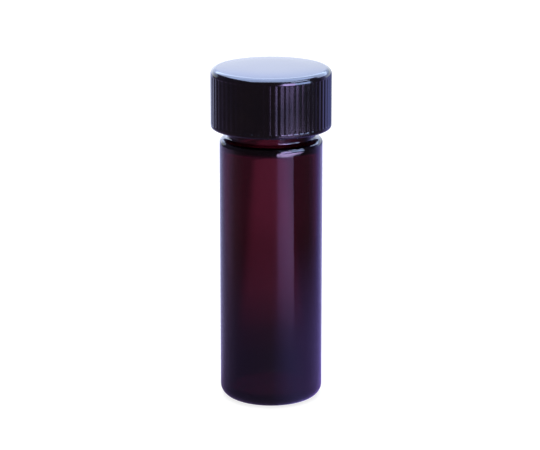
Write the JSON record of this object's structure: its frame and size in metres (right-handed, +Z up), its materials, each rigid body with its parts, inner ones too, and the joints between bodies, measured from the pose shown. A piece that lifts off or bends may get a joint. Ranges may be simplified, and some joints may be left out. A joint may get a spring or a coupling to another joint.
{
  "type": "glass sample vial with screw cap",
  "caption": "Straight cylindrical amber glass sample vial with a narrower threaded neck, a finely ribbed black screw cap and a soft sealing liner inside it.",
  "frame": {"origin": "centre of the underside of the vial's base, on the surface that it stands on", "axes": "+Z up the vial's axis towards the cap, -Y towards the viewer, +X to the viewer's right"},
  "size_m": [0.0194, 0.0192, 0.0545],
  "materials": {
    "amber_glass": "clear, smooth, dark reddish amber",
    "black_phenolic": "moulded, glossy black with a faint violet tint",
    "liner_rubber": "smooth, matt, off-white"
  },
  "bodies": {
    "glass": {"vial": "amber_glass"},
    "liner": {"cap_liner": "liner_rubber"},
    "closure": {"cap": "black_phenolic"}
  },
  "joints": [
    {"name": "cap_lift", "type": "slide", "parent": "glass", "child": "liner", "axis": [0, 0, 1], "range_m": [0, 0.0078]},
    {"name": "cap_turn", "type": "hinge", "parent": "liner", "child": "closure", "pos_m": [0, 0, 0.0525], "axis": [0, 0, 1], "range_deg": [0, 1170]}
  ],
  "couplings": [
    {"joint": "cap_lift", "follows": "cap_turn", "m_per_rad": 0.00038197}
  ]
}
